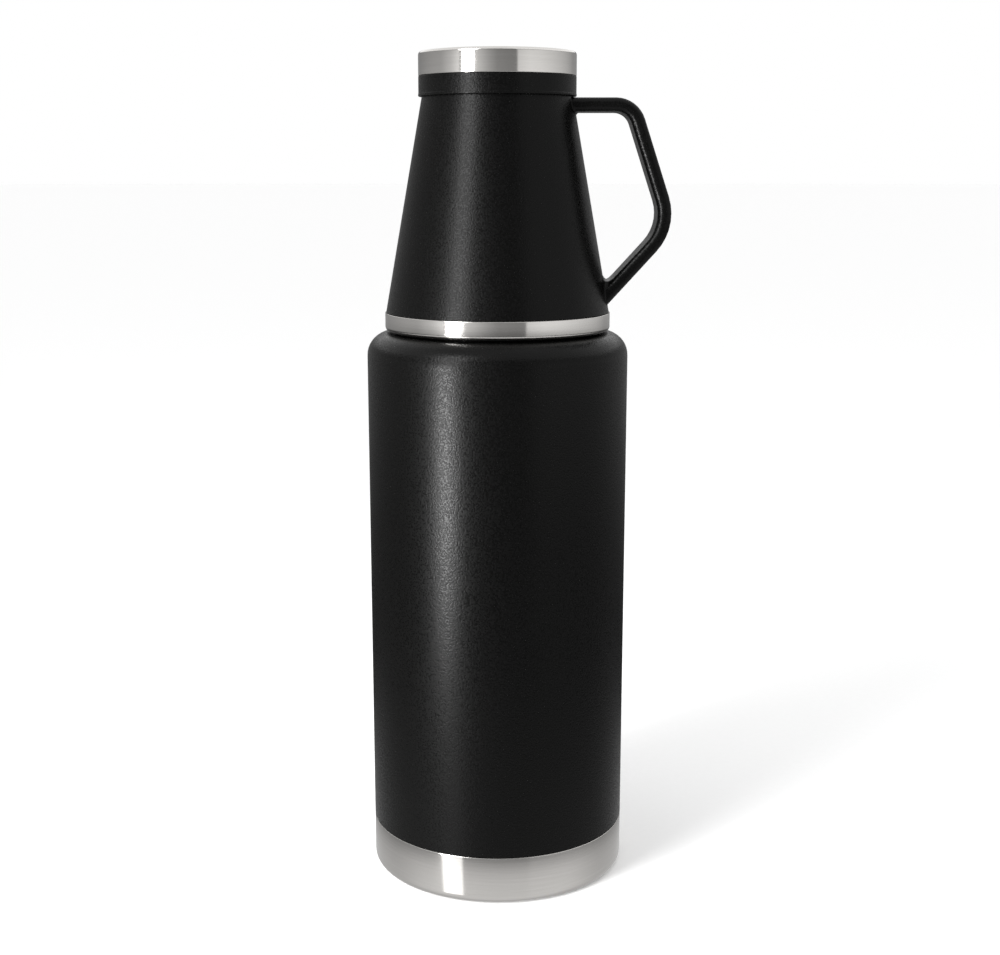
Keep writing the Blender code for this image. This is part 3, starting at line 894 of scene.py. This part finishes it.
def surround():
    """World light: cards round the object, a dim ceiling and a floor glow, all white."""
    world = bpy.data.worlds.new("studio")
    world.use_nodes = True
    bpy.context.scene.world = world
    tree = world.node_tree

    def add(kind, **settings):
        node = tree.nodes.new(kind)
        for key, value in settings.items():
            setattr(node, key, value)
        return node

    def math(operation, *values):
        node = add("ShaderNodeMath", operation=operation)
        for i, value in enumerate(values):
            if isinstance(value, bpy.types.NodeSocket):
                tree.links.new(value, node.inputs[i])
            else:
                node.inputs[i].default_value = value
        return node.outputs[0]

    split = add("ShaderNodeSeparateXYZ")
    tree.links.new(add("ShaderNodeTexCoord").outputs["Generated"], split.inputs[0])
    x, y, z = split.outputs
    azimuth = math("ARCTAN2", x, math("MULTIPLY", y, -1.0))
    turn = math("MULTIPLY_ADD", azimuth, 1 / (2 * pi), 0.5)
    ramp = add("ShaderNodeValToRGB")
    tree.links.new(turn, ramp.inputs[0])
    stops = ramp.color_ramp.elements
    for i, (degrees, radiance) in enumerate(SURROUND):
        place = degrees / 360 + 0.5
        stop = stops[i] if i < 2 else stops.new(place)
        stop.position = place
        stop.color = (radiance, radiance, radiance, 1)
    tall = add("ShaderNodeValToRGB")
    tree.links.new(math("MULTIPLY_ADD", z, 0.5, 0.5), tall.inputs[0])
    stops = tall.color_ramp.elements
    for i, (height, share) in enumerate(HEIGHTS):
        place = height / 2 + 0.5
        stop = stops[i] if i < 2 else stops.new(place)
        stop.position = place
        stop.color = (share, share, share, 1)
    glow = add("ShaderNodeMapRange", interpolation_type="SMOOTHSTEP")
    tree.links.new(z, glow.inputs["Value"])
    for key, value in GLOW.items():
        glow.inputs[key].default_value = value
    aside = add("ShaderNodeMapRange", interpolation_type="SMOOTHSTEP")
    tree.links.new(y, aside.inputs["Value"])
    for key, value in GLOW_ASIDE.items():
        aside.inputs[key].default_value = value
    below = math("MULTIPLY", glow.outputs["Result"], aside.outputs["Result"])
    around = math("MULTIPLY", ramp.outputs[0], tall.outputs[0])
    shown = add("ShaderNodeBackground")
    shown.inputs["Color"].default_value = (1, 1, 1, 1)
    seen = tree.nodes["Background"]
    seen.inputs["Color"].default_value = (1, 1, 1, 1)
    tree.links.new(math("ADD", around, below), seen.inputs["Strength"])
    rays = add("ShaderNodeLightPath")
    either = add("ShaderNodeMixShader")
    tree.links.new(rays.outputs["Is Camera Ray"], either.inputs[0])
    tree.links.new(seen.outputs[0], either.inputs[1])
    tree.links.new(shown.outputs[0], either.inputs[2])
    tree.links.new(either.outputs[0], tree.nodes["World Output"].inputs["Surface"])


def studio():
    """Floor, lights and view transform."""
    bm = bmesh.new()
    bmesh.ops.create_circle(bm, cap_ends=True, radius=FLOOR_R, segments=96)
    floor = new_object("studio_floor", bm)
    floor.data.materials.append(studio_paper())
    floor.visible_glossy = False
    floor.visible_shadow = False
    for key in KEYS:
        softbox(*key)
    sun = bpy.data.lights.new("overhead", "SUN")
    sun.energy = SUN_ENERGY
    sun.angle = SUN_ANGLE
    over = bpy.data.objects.new("overhead", sun)
    over.location = (0, 0, SUN_Z)
    over.rotation_euler = (SUN_TILT, 0, 0)
    bpy.context.scene.collection.objects.link(over)
    surround()
    bpy.context.scene.view_settings.view_transform = "Standard"


def camera():
    """Camera level with the mug's upper half, looking slightly down."""
    data = bpy.data.cameras.new("camera")
    data.lens = CAMERA_LENS
    data.sensor_width = SENSOR_W
    data.clip_start = 0.05
    cam = bpy.data.objects.new("camera", data)
    cam.location = CAMERA_PLACE
    cam.rotation_euler = (pi / 2 - CAMERA_DOWN, 0, 0)
    bpy.context.scene.collection.objects.link(cam)
    bpy.context.scene.camera = cam


# ---------------------------------------------------------------- scene

COAT = powder_coat()
STEEL = brushed_steel()
DISC_STEEL = spun_steel()
INNER_STEEL = electropolished_steel()
SILICONE = moulded(
    "silicone_grain",
    dark=(0.020, 0.020, 0.021),
    light=(0.032, 0.032, 0.033),
    rough=(0.55, 0.75),
    grain_scale=1500,
    depth=0.00005,
)
PLASTIC = moulded(
    "plastic_grain",
    dark=(0.013, 0.013, 0.014),
    light=(0.020, 0.020, 0.021),
    rough=(0.36, 0.52),
    grain_scale=1800,
    depth=0.00006,
)
GETTER = dull_metal("getter_grain", (0.18, 0.175, 0.17), (0.34, 0.33, 0.32), (0.5, 0.7))
SOLDER = dull_metal("solder_grain", (0.45, 0.45, 0.46), (0.62, 0.62, 0.63), (0.3, 0.45))

bottle(COAT, STEEL, DISC_STEEL, INNER_STEEL)
grip_ring(SILICONE)
mug(COAT, STEEL, DISC_STEEL, INNER_STEEL)
handle(COAT)
stopper(PLASTIC, SILICONE, DISC_STEEL)

KEPT = {
    "growler_liner": INNER_STEEL,
    "growler_liner_bottom": INNER_STEEL,
    "growler_getter": GETTER,
    "growler_getter_cup": INNER_STEEL,
    "growler_vacuum_seal": SOLDER,
    "mug_getter": GETTER,
    "mug_getter_cup": INNER_STEEL,
    "mug_vacuum_seal": SOLDER,
    "stopper_foam": foam(),
}
for node, finish in KEPT.items():
    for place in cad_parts[node].material_slots:
        place.material = finish

studio()
camera()
